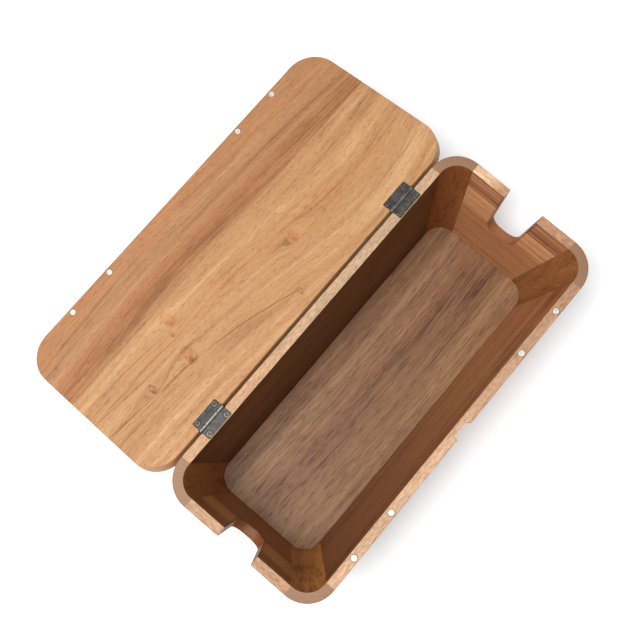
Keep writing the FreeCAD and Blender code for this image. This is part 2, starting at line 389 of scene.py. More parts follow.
@dataclass(frozen=True)
class Timber:
    """Oiled timber: broad and narrow streaks, thin veins, fibres and pores along the grain."""

    name: str
    tones: Tones
    grain: Grain
    shift: float = 0.0
    origin: Triple = (0.0, 0.0, 0.0)
    drift: float = 7 * MM
    contrast: float = 1.0
    veins: float = 0.22
    pores: float = 0.26
    pore_run: float = 170.0
    satin: float = 0.50
    relief: float = 0.06 * MM
    knots: tuple[Knot, ...] = ()
    bows: tuple[Bow, ...] = ()
    lines: tuple[Vein, ...] = ()
    bands: tuple[Band, ...] = ()
    strips: tuple[Strip, ...] = ()
    ends: tuple[Colour, Colour] | None = None
    ends_reach: float = 140 * MM
    rim: tuple[Colour, Colour] | None = None
    rim_fade: float = 60 * MM
    end_grain: bool = False
    # A tint of painted shade for the slot's cut faces and round arrises.
    slot_painted_shade: Colour | None = None

    def local(self, graph: Graph) -> Socket:
        """The point in the board's own axes: X along the grain, Z through a flat board."""
        inputs = {"Vector": graph.place, "Location": self.origin, "Rotation": self.grain.value}
        return graph.add("ShaderNodeMapping", inputs, vector_type="TEXTURE").outputs[0]

    def pattern(self, graph: Graph, point: Socket, weave: Weave) -> Socket:
        """One of the timber's patterns, read at the point and shifted for this board."""
        along, across, detail, shift = weave.value
        return graph.noise(point, (along, across, across), detail, self.shift + shift)

    def away(self, graph: Graph, point: Socket, middle: Pair, reach: Pair) -> Socket:
        """The way on the board's face from a middle to the point, as a share of the reach."""
        offset = graph.vector("SUBTRACT", point, (*middle, 0.0))
        return graph.vector("MULTIPLY", offset, (1 / reach[0], 1 / reach[1], 0.0))

    def bell(self, graph: Graph, point: Socket, middle: Pair, reach: Pair) -> Socket:
        """A bell curve about a middle: e to the minus of the squared distance over the reach."""
        away = self.away(graph, point, middle, reach)
        return graph.math("EXPONENT", graph.math("MULTIPLY", graph.dot(away, away), -1.0))

    def outward(
        self, graph: Graph, point: Socket, middle: Pair, reach: Pair, wobble: Socket
    ) -> Socket:
        """How far out the point is from a middle, 1 at a ragged ellipse of that reach each way."""
        distance = graph.length(self.away(graph, point, middle, reach))
        return graph.math("ADD", distance, wobble)

    def flowing(self, graph: Graph, point: Socket) -> Socket:
        """Bends the grain: slow drift everywhere, broad bows, and a swerve round each knot.

        Near a knot the distance across the grain is shrunk by a bell curve, which spreads the lines
        apart there and crowds them at its sides.

        Args:
            graph: The material's graph.
            point: The point in the board's own axes.

        Returns:
            The bent point.
        """
        slow = self.pattern(graph, point, Weave.DRIFT)
        across = graph.linear(slow, 0.2, 0.8, (-self.drift, self.drift))
        for bow in self.bows:
            hump = self.bell(graph, point, (bow.along, bow.across), (bow.reach, bow.spread))
            across = graph.math("MULTIPLY_ADD", hump, bow.rise, across)
        for knot in self.knots:
            hump = self.bell(graph, point, knot.middle, knot.swerve)
            away = graph.vector("SUBTRACT", point, (*knot.middle, 0.0))
            across = graph.math("MULTIPLY_ADD", hump, graph.dot(away, (0.0, -0.9, 0.0)), across)
        shift = graph.add("ShaderNodeCombineXYZ", {1: across}).outputs[0]
        return graph.vector("ADD", point, shift)

    def masks(self, graph: Graph) -> list[tuple[Socket, Strip]]:
        """Finds where each strip of an end wall lies.

        Args:
            graph: The material's graph.

        Returns:
            Each strip with its mask, which is 1 between its heights and ends in a crisp glue line.
        """
        height = graph.axes(graph.place)[2]
        found = []
        for strip in self.strips:
            above = graph.step(height, strip.low - GLUE_LINE, strip.low + GLUE_LINE)
            below = graph.step(height, strip.high - GLUE_LINE, strip.high + GLUE_LINE, (1.0, 0.0))
            found.append((graph.math("MULTIPLY", above, below), strip))
        return found

    def knotted(self, graph: Graph, point: Socket, colour: Socket) -> Socket:
        """Lays each knot over the colour: a rosy tall blotch, a broken rim and a dark heart.

        Args:
            graph: The material's graph.
            point: The point in the board's own axes.
            colour: The timber's colour.

        Returns:
            The colour with the knots.
        """
        rough = graph.noise(point, (230.0, 170.0, 0.0), 2.0, self.shift)
        wobble = graph.linear(rough, 0.0, 1.0, (-0.7, 0.7))
        for knot in self.knots:
            size = knot.size
            radius = self.outward(graph, point, knot.middle, (size, 1.8 * size), wobble)
            blotch = graph.step(radius, 0.4, 1.6, (0.85, 0.0))
            colour = graph.tinted(colour, Stain.KNOT_BLUSH.value, blotch)
            rim = graph.step(graph.apart(radius, 1.0), 0.04, 0.32, (knot.darkness, 0.0))
            rim = graph.math("MULTIPLY", rim, graph.step(rough, 0.42, 0.60))
            colour = graph.tinted(colour, Stain.KNOT_RIM.value, rim)
            heart = (knot.along - 0.35 * size, knot.across - 0.9 * size)
            radius = self.outward(graph, point, heart, (0.75 * size, 1.05 * size), wobble)
            dark = graph.step(radius, 0.2, 1.1, (knot.darkness, 0.0))
            colour = graph.tinted(colour, Stain.KNOT_HEART.value, dark)
        return colour

    def veined(self, graph: Graph, point: Socket, bent: Socket, colour: Socket) -> Socket:
        """Draws the timber's thin dark lines.

        Most follow the level lines of a long noise, which run with the bent grain, and come and go
        with a second noise. Each placed line is the parabola a + b x + c x x, x measured from its
        start, and fades at both ends.

        Args:
            graph: The material's graph.
            point: The point in the board's own axes.
            bent: The same point, moved with the bent grain.
            colour: The timber's colour.

        Returns:
            The colour with the lines.
        """
        flow = self.pattern(graph, bent, Weave.FLOW)
        patch = graph.step(self.pattern(graph, bent, Weave.PATCH), 0.42, 0.62)
        for level in VEIN_LEVELS:
            share = graph.step(graph.apart(flow, level), 0.0, VEIN_WIDTH, (self.veins, 0.0))
            share = graph.math("MULTIPLY", share, patch)
            colour = graph.tinted(colour, Stain.VEIN.value, share)
        along, across, _ = graph.axes(point)
        for line in self.lines:
            x = graph.math("SUBTRACT", along, line.start)
            rise = graph.math("MULTIPLY", x, graph.math("MULTIPLY_ADD", x, line.bend, line.slope))
            path = graph.math("ADD", rise, line.across)
            ragged = graph.linear(flow, 0.3, 0.7, (-0.6 * line.width, 0.6 * line.width))
            off = graph.math("ADD", graph.math("SUBTRACT", across, path), ragged)
            off = graph.math("ABSOLUTE", off)
            share = graph.step(off, 0.0, line.width, (line.strength, 0.0))
            fade = 0.25 * (line.end - line.start)
            begun = graph.step(along, line.start, line.start + fade)
            left = graph.step(along, line.end - fade, line.end, (1.0, 0.0))
            share = graph.math("MULTIPLY", graph.math("MULTIPLY", share, begun), left)
            colour = graph.tinted(colour, Stain.LINE.value, share)
        return colour

    def end_rings(self, graph: Graph) -> Socket:
        """Gives the light and dark of end grain: ragged arcs about a far centre, and fine specks.

        Args:
            graph: The material's graph.

        Returns:
            The factor on the cut's tone.
        """
        centre = (0.0, 0.13 + 0.01 * math.sin(self.shift), 0.0)
        away = graph.vector("SUBTRACT", graph.place, centre)
        flat = graph.vector("MULTIPLY", away, (1.0, 1.0, 0.0))
        ragged = graph.noise(graph.place, (60.0,) * 3, 2.0, self.shift)
        turns = graph.math("MULTIPLY", graph.length(flat), 310.0)
        turns = graph.math("MULTIPLY_ADD", ragged, 3.0, turns)
        wave = graph.apart(graph.math("FRACT", turns), 0.5)
        speck = graph.noise(graph.place, (1100.0,) * 3, 2.0, self.shift + 3.0)
        return graph.math("MULTIPLY_ADD", speck, 0.34, graph.linear(wave, 0.0, 0.5, (0.78, 0.88)))

    def flecks(self, graph: Graph, point: Socket) -> Socket:
        """Gives the light and dark of a sawn edge: short flecks with the grain, and soft clouds.

        Args:
            graph: The material's graph.
            point: The point in the board's own axes.

        Returns:
            The factor on the cut's tone.
        """
        fleck = graph.linear(self.pattern(graph, point, Weave.FLECK), 0.30, 0.66, (0.64, 1.16))
        cloud = graph.linear(self.pattern(graph, point, Weave.CLOUD), 0.30, 0.70, (0.86, 1.08))
        return graph.math("MULTIPLY", fleck, cloud)

    def sawn(self, graph: Graph, point: Socket, colour: Socket) -> Socket:
        """Lays the paler cut edge over the top of the rim.

        Args:
            graph: The material's graph.
            point: The point in the board's own axes.
            colour: The timber's colour.

        Returns:
            The colour with the cut edge, whose tone runs from the first of the rim's to the second.
        """
        height = graph.axes(graph.place)[2]
        cut = graph.step(height, BOX.rim_height - 0.8 * MM, BOX.rim_height - 0.25 * MM)
        dim = self.end_rings(graph) if self.end_grain else self.flecks(graph, point)
        grey = graph.add("ShaderNodeCombineColor", {0: dim, 1: dim, 2: dim}).outputs[0]
        sweep = graph.math("SUBTRACT", self.pattern(graph, point, Weave.SWEEP), 0.5)
        run = graph.math("MULTIPLY_ADD", sweep, 0.35, graph.axes(point)[0])
        tone = graph.mix(graph.step(run, -self.rim_fade, self.rim_fade), *self.rim)
        return graph.mix(graph.math("MULTIPLY", cut, 0.9), colour, graph.tinted(tone, grey))

    def slotted(self, graph: Graph, colour: Socket) -> Socket:
        """Darkens the cut faces of the slot and its round arrises with painted shade.

        The distance from the slot's outline is the length of two overhangs less the corner radius:
        how far the point is past the corner centres' half width, and how far below their height.

        Args:
            graph: The material's graph.
            colour: The timber's colour.

        Returns:
            The colour with the darker slot.
        """
        _, sideways, height = graph.axes(graph.place)
        half = graph.linear(height, BOX.slot_floor, BOX.rim_height, BOX.slot_halves)
        aside = graph.math("SUBTRACT", graph.math("ABSOLUTE", sideways), half)
        aside = graph.math("MAXIMUM", graph.math("ADD", aside, BOX.slot_corner), 0.0)
        centre = BOX.slot_floor + BOX.slot_corner
        under = graph.math("MAXIMUM", graph.math("SUBTRACT", centre, height), 0.0)
        both = graph.add("ShaderNodeCombineXYZ", {0: aside, 1: under}).outputs[0]
        near, far = BOX.slot_corner + 0.2 * MM, BOX.slot_corner + 2.4 * MM
        share = graph.step(graph.length(both), near, far, (1.0, 0.0))
        return graph.tinted(colour, self.slot_painted_shade, share)

    def blended(
        self, graph: Graph, layers: dict[Weave, Socket], shares: dict[Weave, float],
        start: float, contrast: float = 1.0,
    ) -> Socket:
        """Adds up patterns: each one's departure from its mean of 0.5, times its share.

        Args:
            graph: The material's graph.
            layers: The patterns.
            shares: How much of each is added.
            start: The sum that it starts from.
            contrast: A factor on every share.

        Returns:
            The sum.
        """
        total: Socket | float = start
        for weave, share in shares.items():
            departure = graph.math("SUBTRACT", layers[weave], 0.5)
            total = graph.math("MULTIPLY_ADD", departure, share * contrast, total)
        return total

    def build(self) -> bpy.types.Material:
        """Makes the material.

        Returns:
            The finished material.
        """
        graph = Graph(self.name)
        point = self.local(graph)
        bent = self.flowing(graph, point)
        masks = self.masks(graph)
        contrast: Socket | float = self.contrast
        for mask, strip in masks:
            jump = graph.math("MULTIPLY", mask, 0.3 + strip.low)
            offset = graph.add("ShaderNodeCombineXYZ", {1: jump}).outputs[0]
            bent = graph.vector("ADD", bent, offset)
            contrast = graph.math("MULTIPLY_ADD", mask, strip.contrast - self.contrast, contrast)

        layers = {weave: self.pattern(graph, bent, weave) for weave in {**COARSE, **FINE}}
        coarse = self.blended(graph, layers, COARSE, 0.5, self.contrast)
        fine = self.blended(graph, layers, FINE, 0.0)
        tone = graph.math("MULTIPLY_ADD", fine, contrast, coarse)
        tones = self.tones
        colour = graph.ramp(tone, ((0.08, tones.dark), (0.5, tones.middle), (0.92, tones.light)))
        colour = graph.tinted(colour, graph.ramp(self.pattern(graph, bent, Weave.HUE), HUES))

        across = graph.axes(bent)[1]
        lively = graph.linear(layers[Weave.STREAK], 0.3, 0.6, (0.55, 1.1))
        for band in self.bands:
            off = graph.apart(across, band.across)
            share = graph.step(off, 0.3 * band.width, band.width, (band.strength, 0.0))
            colour = graph.tinted(colour, band.tint, graph.math("MULTIPLY", share, lively))
        for mask, strip in masks:
            colour = graph.tinted(colour, strip.tint, mask)
        if self.ends is not None:
            share = graph.linear(graph.axes(point)[0], -self.ends_reach, self.ends_reach)
            colour = graph.tinted(colour, graph.mix(share, *self.ends))
        colour = self.veined(graph, point, bent, colour)
        if self.knots:
            colour = self.knotted(graph, point, colour)

        speck = graph.noise(bent, (self.pore_run, PORES_ACROSS, PORES_ACROSS), 1.0, self.shift + 5.0)
        pores = graph.step(speck, 0.54, 0.68)
        deep = tuple(1.0 - self.pores * depth for depth in PORE_DEPTHS)
        colour = graph.tinted(colour, deep, pores)
        # Painted shade in the slot.
        if self.slot_painted_shade is not None:
            colour = self.slotted(graph, colour)
        if self.rim is not None:
            colour = self.sawn(graph, point, colour)

        fibre = layers[Weave.FIBRE]
        rough = graph.linear(fibre, 0.2, 0.8, (self.satin - 0.06, self.satin + 0.08))
        rough = graph.math("MULTIPLY_ADD", pores, 0.12, rough)
        height = graph.math("MULTIPLY_ADD", pores, -0.8, fibre)
        return graph.shade(colour, rough, height, self.relief, Specular_IOR_Level=0.3)


@dataclass(frozen=True)
class Metal:
    """Plated metal with cloudy patches, fine brushing and small scuffs."""

    name: str
    low: Colour
    high: Colour
    rough: Pair
    cloud: float = 220.0
    brushing: Triple = (250.0, 4200.0, 4200.0)
    scuffs: float = 900.0
    relief: float = 0.03 * MM
    # A lighter colour for the knuckles: a painted highlight.
    knuckle_highlight: Colour | None = None
    knuckle_highlight_reach: Pair = (1.9 * MM, 2.6 * MM)
    metallic: float = 1.0

    def build(self) -> bpy.types.Material:
        """Makes the material. With a knuckle highlight tone, the knuckles get a lighter colour, a
        painted highlight, and a smoother finish.

        Returns:
            The finished material.
        """
        graph = Graph(self.name)
        cloud = graph.noise(graph.place, (self.cloud,) * 3, 3.0, 2.0)
        brushed = graph.noise(graph.place, self.brushing, 1.0, 7.0)
        scuff = graph.step(graph.noise(graph.place, (self.scuffs,) * 3, 2.0, 9.0), 0.60, 0.72)
        tone = graph.linear(cloud, 0.30, 0.70)
        colour = graph.ramp(tone, ((0.0, self.low), (1.0, self.high)))
        bright = tuple(min(1.0, 1.5 * channel) for channel in self.high)
        colour = graph.mix(graph.math("MULTIPLY", scuff, 0.35), colour, bright)
        rough = graph.math("MULTIPLY_ADD", brushed, 0.5, cloud)
        rough = graph.linear(rough, 0.5, 1.0, self.rough)
        # Painted highlight: the knuckles' colour is lightened, and their finish smoothed.
        if self.knuckle_highlight is not None:
            away = graph.vector("SUBTRACT", graph.place, (0.0, BOX.axis_y, BOX.axis_z))
            away = graph.length(graph.vector("MULTIPLY", away, (0.0, 1.0, 1.0)))
            near = graph.step(away, *self.knuckle_highlight_reach, (1.0, 0.0))
            colour = graph.mix(graph.math("MULTIPLY", near, cloud), colour, self.knuckle_highlight)
            rough = graph.math("MULTIPLY_ADD", near, -0.26, rough)
        height = graph.math("MULTIPLY_ADD", cloud, 0.6, brushed)
        return graph.shade(colour, rough, height, self.relief, Metallic=self.metallic)


HINGE_PLATING = Metal(
    "hinge_plating", (0.054, 0.052, 0.050), (0.112, 0.109, 0.102), (0.54, 0.68),
    # The knuckles' lighter colour is a painted highlight.
    knuckle_highlight=(0.42, 0.395, 0.355),
)
SCREW_PLATING = Metal(
    "screw_plating", (0.085, 0.078, 0.066), (0.16, 0.148, 0.124), (0.42, 0.56), 500.0
)
MAGNET_PLATING = Metal(
    "magnet_plating", (0.60, 0.57, 0.52), (0.76, 0.73, 0.67), (0.42, 0.56), 400.0, metallic=0.5
)


def piece_from(name: str, shells: list[Surface]) -> bpy.types.Object:
    """Makes one object of closed shells of quads, smooth but for its sharper edges.

    Args:
        name: The object's name.
        shells: Each shell's points and its faces, as point numbers.

    Returns:
        The new object, linked to the scene.
    """
    points: list[np.ndarray] = []
    faces: list[list[int]] = []
    total = 0
    for shell_points, shell_faces in shells:
        points.append(shell_points)
        faces.extend((shell_faces + total).tolist())
        total += len(shell_points)
    mesh = bpy.data.meshes.new(name)
    mesh.from_pydata(np.concatenate(points).tolist(), [], faces)
    work = bmesh.new()
    work.from_mesh(mesh)
    bmesh.ops.remove_doubles(work, verts=work.verts, dist=WELD_REACH)
    bmesh.ops.recalc_face_normals(work, faces=work.faces)
    work.to_mesh(mesh)
    work.free()
    mesh.shade_smooth()
    mesh.set_sharp_from_angle(angle=METAL_CREASE)
    thing = bpy.data.objects.new(name, mesh)
    bpy.context.scene.collection.objects.link(thing)
    return thing


def dress(
    piece: bpy.types.Object, body: str, material: bpy.types.Material, node: str
) -> None:
    """Gives a piece its finish and its body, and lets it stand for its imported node.

    Args:
        piece: The piece.
        body: The body that it rides on.
        material: Its finish.
        node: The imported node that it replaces.
    """
    piece.data.materials.append(material)
    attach(piece, body)
    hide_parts(node)
    LOG.info("%s on %s, %d faces", piece.name, body, len(piece.data.polygons))


def grid_faces(
    rows: int, columns: int, wrap_rows: bool = False, wrap_columns: bool = False
) -> np.ndarray:
    """Joins up a grid of points that are numbered row by row.

    Args:
        rows: How many rows it has.
        columns: How many points a row has.
        wrap_rows: Whether the last row joins the first.
        wrap_columns: Whether each row's last point joins its first.

    Returns:
        The quads: point (i, j) with its neighbours below, below to the right, and to the right.
    """
    i, j = np.meshgrid(
        np.arange(rows if wrap_rows else rows - 1),
        np.arange(columns if wrap_columns else columns - 1),
        indexing="ij",
    )
    down = (i + 1) % rows
    right = (j + 1) % columns
    corners = (i * columns + j, down * columns + j, down * columns + right, i * columns + right)
    return np.stack([corner.ravel() for corner in corners], axis=1)


def turned(radii: np.ndarray, heights: np.ndarray, segments: int) -> Surface:
    """Turns a profile about Z: the point at angle a is (r cos a, r sin a, h).

    Args:
        radii: The profile's radii, 0 at both ends for a closed solid.
        heights: Its heights.
        segments: How many steps one turn has.

    Returns:
        The shell.
    """
    angle = np.linspace(0, 2 * np.pi, segments, endpoint=False)
    x = radii[:, None] * np.cos(angle)
    y = radii[:, None] * np.sin(angle)
    z = np.broadcast_to(heights[:, None], x.shape)
    points = np.stack([x, y, z], axis=-1).reshape(-1, 3)
    return points, grid_faces(len(radii), segments, wrap_columns=True)


def eased_corner(
    radius: float, top: float, ease: float, steps: int = 5
) -> tuple[np.ndarray, np.ndarray]:
    """A quarter round from a flat top to an upright side: radii and heights, from the inside out."""
    angle = np.linspace(0, np.pi / 2, steps)
    return radius - ease + ease * np.sin(angle), top - ease + ease * np.cos(angle)


def swung_with_lid(points: np.ndarray) -> np.ndarray:
    """Mirrors points of a box leaf through the parting plane, then lays them on the open lid.

    The mirror takes z to twice the axis height less z. The turn is -(180 degrees + the lid's rest
    angle) about the hinge axis: y' = y cos t - z sin t and z' = y sin t + z cos t.

    Args:
        points: The points, where the box's leaf has them.

    Returns:
        The points where the open lid has them.
    """
    turn = -(math.pi + BOX.lid_past_flat)
    y = points[:, 1] - BOX.axis_y
    z = BOX.axis_z - points[:, 2]
    out = points.copy()
    out[:, 1] = BOX.axis_y + y * math.cos(turn) - z * math.sin(turn)
    out[:, 2] = BOX.axis_z + y * math.sin(turn) + z * math.cos(turn)
    return out


class Side(Enum):
    """Which body a metal piece belongs to."""

    BOX = "box"
    LID = "lid"

    def place(self, points: np.ndarray) -> np.ndarray:
        """Lays points that are given for the box's side where this side has them."""
        return points if self is Side.BOX else swung_with_lid(points)


@dataclass
class Board:
    """A wooden piece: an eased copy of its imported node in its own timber."""

    node: str
    body: str
    slot: str
    timber: Timber
    ease: float = 0.45 * MM
    slot_ease: float = 0.0
    joints: tuple[tuple[Triple, float], ...] = ()

    def merged(self) -> Surface:
        """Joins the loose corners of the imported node's triangles.

        Corners that round to the same place on a fine grid become one, and a triangle that this
        leaves with two corners is dropped.

        Returns:
            The points and the triangles.
        """
        source = bpy.data.objects[self.node].data
        points = np.empty(len(source.vertices) * 3, np.float32)
        source.vertices.foreach_get("co", points)
        corner = np.empty(len(source.loops), np.int32)
        source.loops.foreach_get("vertex_index", corner)
        points = points.reshape(-1, 3).astype(float)
        keys = np.round(points / CORNER_GRID).astype(np.int64)
        _, first, number = np.unique(keys, axis=0, return_index=True, return_inverse=True)
        faces = number.reshape(-1)[corner].reshape(-1, 3)
        whole = (faces != np.roll(faces, 1, axis=1)).all(axis=1)
        return points[first], faces[whole]

    def on_joint(self, point: Vector) -> set[int]:
        """The glue joints that the point lies on."""
        planes = enumerate(self.joints)
        return {k for k, (way, far) in planes if abs(Vector(way).dot(point) - far) < JOINT_REACH}

    def round_slot(self, edge: bmesh.types.BMEdge) -> bool:
        """Tells whether an edge runs round the mouth of the slot, which is rounded over more.

        Args:
            edge: The edge.

        Returns:
            True for an edge inside the slot's width, from its floor to just below the rim.
        """
        low = min(vertex.co.z for vertex in edge.verts)
        inside = all(abs(vertex.co.y) < BOX.slot_halves[1] + 0.6 * MM for vertex in edge.verts)
        beside = BOX.slot_floor - 1 * MM < low < BOX.rim_height - 1 * MM
        return self.slot_ease > 0 and inside and beside

    def build(self) -> None:
        """Makes the board: flat faces become one each, and free arrises are eased.

        An arris is eased where its two faces meet at over 30 degrees and it isn't part of a glue
        joint, because those were sanded flush after gluing. The weights are shares of the widest
        easing that the board has.
        """
        points, faces = self.merged()
        mesh = bpy.data.meshes.new(f"{self.node}_board")
        mesh.from_pydata(points.tolist(), [], faces.tolist())
        work = bmesh.new()
        work.from_mesh(mesh)
        bmesh.ops.dissolve_limit(work, angle_limit=FLAT_ANGLE, verts=work.verts, edges=work.edges)
        weight = work.edges.layers.float.new("bevel_weight_edge")
        widest = max(self.ease, self.slot_ease)
        for edge in work.edges:
            if len(edge.link_faces) != 2 or edge.calc_face_angle(0.0) < ARRIS_ANGLE:
                continue
            if not self.on_joint(edge.verts[0].co) & self.on_joint(edge.verts[1].co):
                edge[weight] = 1.0 if self.round_slot(edge) else self.ease / widest
        work.to_mesh(mesh)
        work.free()
        mesh.shade_smooth()
        mesh.set_sharp_from_angle(angle=ARRIS_ANGLE)
        board = bpy.data.objects.new(mesh.name, mesh)
        bpy.context.scene.collection.objects.link(board)
        bevel = board.modifiers.new("ease", "BEVEL")
        bevel.limit_method = "WEIGHT"
        bevel.width = widest
        bevel.segments = 4 if self.slot_ease > 0 else 3
        bevel.harden_normals = True
        dress(board, self.body, self.timber.build(), self.node)


@dataclass
class Hinge:
    """One butt hinge: two leaves with rolled knuckles, a pin, and four countersunk screws."""

    side: str
    x: float
    length: float = 30 * MM
    reach: float = 9 * MM
    thickness: float = 1 * MM
    corner: float = 1.2 * MM
    arris: float = 0.22 * MM
    margin: float = 1 * MM
    knuckle: float = 2.2 * MM
    knuckle_share: float = 0.5
    knuckle_ease: float = 0.3 * MM
    seam_angle: float = math.radians(205)
    seam_spread: float = 0.09
    seam_depth: float = 0.16 * MM
    play: float = 0.15 * MM
    pin: float = 1.2 * MM
    pin_play: float = 0.06 * MM
    pin_head: float = 0.7 * MM
    pin_head_lip: float = 0.35 * MM
    screw_spacing: float = 22.4 * MM
    screw_inset: float = 6 * MM
    head: float = 2.8 * MM
    head_ease: float = 0.12 * MM
    head_play: float = 0.05 * MM
    sink: float = 0.45 * MM
    cone_depth: float = 0.9 * MM
    neck: float = 1.9 * MM
    shank: float = 1.25 * MM
    shank_length: float = 9.9 * MM
    tip: float = 2 * MM
    cross_length: float = 3.9 * MM
    cross_width: float = 0.95 * MM
    cross_depth: float = 1.15 * MM
    cross_slope: float = 0.12 * MM

    def screw_places(self) -> np.ndarray:
        """The two screws' X and Y on a leaf."""
        y = BOX.rim_width / 2 - self.screw_inset
        return np.array([[self.x + s * self.screw_spacing / 2, y] for s in (-1, 1)])

    def plate(self) -> Surface:
        """Makes a leaf's flat as an upper and a lower sheet joined at their rims.

        Each point of a grid is drawn in to the outline: past a far corner's centre it moves on to
        the corner's circle. The upper sheet's height is the rim height, less a quarter round near
        the outline, less a cone round each screw.

        Returns:
            The shell.
        """
        half = self.length / 2
        y_far = BOX.rim_width / 2 - self.reach
        edge = np.array([0.0, 0.04, 0.1, 0.17, 0.3, 0.6]) * MM
        even = np.linspace(-half + self.margin, half - self.margin, 113)
        u = np.concatenate([-half + edge, even, half - edge[::-1]])
        v = np.concatenate([y_far + edge, np.linspace(y_far + self.margin, BOX.axis_y, 44)])
        x, y = np.meshgrid(u, v, indexing="ij")
        cx = np.sign(x) * (half - self.corner)
        cy = y_far + self.corner
        dx, dy = np.abs(x) - (half - self.corner), cy - y
        in_corner = (dx > 0) & (dy > 0)
        square = np.maximum(dx, dy)
        scale = np.where(in_corner, square / np.maximum(np.hypot(dx, dy), 1e-9), 1.0)
        x = np.where(in_corner, cx + (x - cx) * scale, x)
        y = np.where(in_corner, cy + (y - cy) * scale, y)
        depth_in = np.minimum(half - np.abs(x), y - y_far)
        depth_in = np.where(in_corner, self.corner - square, depth_in)
        sunk = np.clip(self.arris - depth_in, 0, self.arris)
        top = BOX.rim_height - (self.arris - np.sqrt(self.arris**2 - sunk**2))
        for sx, sy in self.screw_places():
            away = np.hypot(x + self.x - sx, y - sy)
            cone = np.clip(self.head + self.sink - away, 0, self.cone_depth)
            top = np.minimum(top, BOX.rim_height - cone)
        low = np.full_like(top, BOX.rim_height - self.thickness)
        upper = np.stack([x + self.x, y, top], axis=-1)
        lower = np.stack([x + self.x, y, low], axis=-1)
        rows, columns = x.shape
        points = np.concatenate([upper.reshape(-1, 3), lower.reshape(-1, 3)])
        sheet = grid_faces(rows, columns)
        under = rows * columns
        numbers = np.arange(under).reshape(rows, columns)
        sides = (numbers[:, 0], numbers[-1, 1:], numbers[-2::-1, -1], numbers[0, -2:0:-1])
        ring = np.concatenate(sides)
        after = np.roll(ring, -1)
        wall = np.stack([ring, after, after + under, ring + under], axis=1)
        return points, np.concatenate([sheet, sheet[:, ::-1] + under, wall])

    def rolled(self, low: float, high: float) -> Surface:
        """Makes a knuckle: the leaf's strip rolled round the pin.

        The section is turned about the hinge axis. Its radius dips along one line, where the rolled
        strip's end meets the leaf, by a bell curve of the angle.

        Args:
            low: Where it begins along X.
            high: Where it ends along X.

        Returns:
            The shell.
        """
        ease = self.knuckle_ease
        bore = self.pin + self.pin_play
        quarter = np.linspace(0, np.pi / 2, 5)
        out_r = self.knuckle - ease + ease * np.sin(quarter)
        out_x = low + ease - ease * np.cos(quarter)
        even = np.linspace(low + ease, high - ease, 12)[1:-1]
        x = np.concatenate([[low], out_x, even, (low + high - out_x)[::-1], [high]])
        r = np.concatenate(
            [[bore], out_r, np.full(len(even), self.knuckle), out_r[::-1], [bore]]
        )
        angle = np.linspace(0, 2 * np.pi, 56, endpoint=False)
        dip = self.seam_depth * np.exp(-(((angle - self.seam_angle) / self.seam_spread) ** 2))
        radius = r[:, None] - dip[None, :] * (r[:, None] > bore)
        y = BOX.axis_y + radius * np.cos(angle)
        z = BOX.axis_z + radius * np.sin(angle)
        points = np.stack([np.broadcast_to(x[:, None], y.shape), y, z], axis=-1).reshape(-1, 3)
        return points, grid_faces(len(x), len(angle), wrap_rows=True, wrap_columns=True)

    def spans(self, side: Side) -> list[tuple[float, float]]:
        """Gives the stretches of the axis that a leaf's knuckles take.

        Args:
            side: The leaf's side.

        Returns:
            Each stretch along X: the two end ones for the box, the middle one for the lid.
        """
        half = self.length / 2
        inner = half * self.knuckle_share
        if side is Side.LID:
            return [(self.x - inner + self.play, self.x + inner - self.play)]
        return [(self.x - half, self.x - inner), (self.x + inner, self.x + half)]

    def arm(self, along: np.ndarray, across: np.ndarray) -> np.ndarray:
        """How deep in an arm of the cross each point lies, from 0 to 1."""
        ends, sides = self.cross_length / 2 - np.abs(along), self.cross_width / 2 - np.abs(across)
        return np.clip(np.minimum(ends, sides) / self.cross_slope, 0, 1)

    def screw(self, x: float, y: float) -> Surface:
        """Makes a countersunk screw, turned about its own axis, with the cross sunk into its head.

        The head's height falls from the middle as a shallow dome. Inside either arm of the cross it
        drops by the cross's depth, over a short slope at the arm's edge.

        Args:
            x: The screw's X.
            y: The screw's Y.

        Returns:
            The shell.
        """
        rings = [[0.0], np.linspace(0.12, 1.95, 24) * MM, np.linspace(2.02, 2.62, 8) * MM]
        dome = np.concatenate(rings)
        fall = -0.03 * MM - 0.13 * MM * (dome / (2.62 * MM)) ** 2
        cr, ch = eased_corner(self.head - self.head_play, -0.16 * MM, self.head_ease)
        sides = np.array([self.shank, self.shank, 0.0])
        depths = np.array([-self.neck, -self.shank_length + self.tip, -self.shank_length])
        radii = np.concatenate([dome, cr, sides])
        heights = np.concatenate([fall, ch, depths])
        points, faces = turned(radii, heights, 72)
        px, py = points[:, 0], points[:, 1]
        on_head = points[:, 2] > -0.3 * MM
        sunk = np.maximum(self.arm(px, py), self.arm(py, px)) * on_head
        taper = 1 - 0.55 * np.clip(np.hypot(px, py) / (self.cross_length / 2), 0, 1)
        points[:, 2] -= self.cross_depth * taper * sunk
        return points + np.array([x, y, BOX.rim_height]), faces

    def pin_surface(self) -> Surface:
        """Makes the pin, turned about the hinge axis, with a low domed head at each end.

        Returns:
            The shell.
        """
        half = self.length / 2
        shoulder = half - 0.01 * MM
        angle = np.linspace(0, np.pi / 2, 7)
        head_r = (self.pin + self.pin_head_lip) * np.sin(angle)
        head_x = -half - self.pin_head * np.cos(angle)
        r = np.concatenate([head_r, [self.pin, self.pin], head_r[::-1]])
        x = np.concatenate([head_x, [-shoulder, shoulder], -head_x[::-1]])
        points, faces = turned(r, x, 40)
        place = np.array([self.x, BOX.axis_y, BOX.axis_z])
        return points[:, [2, 0, 1]] + place, faces

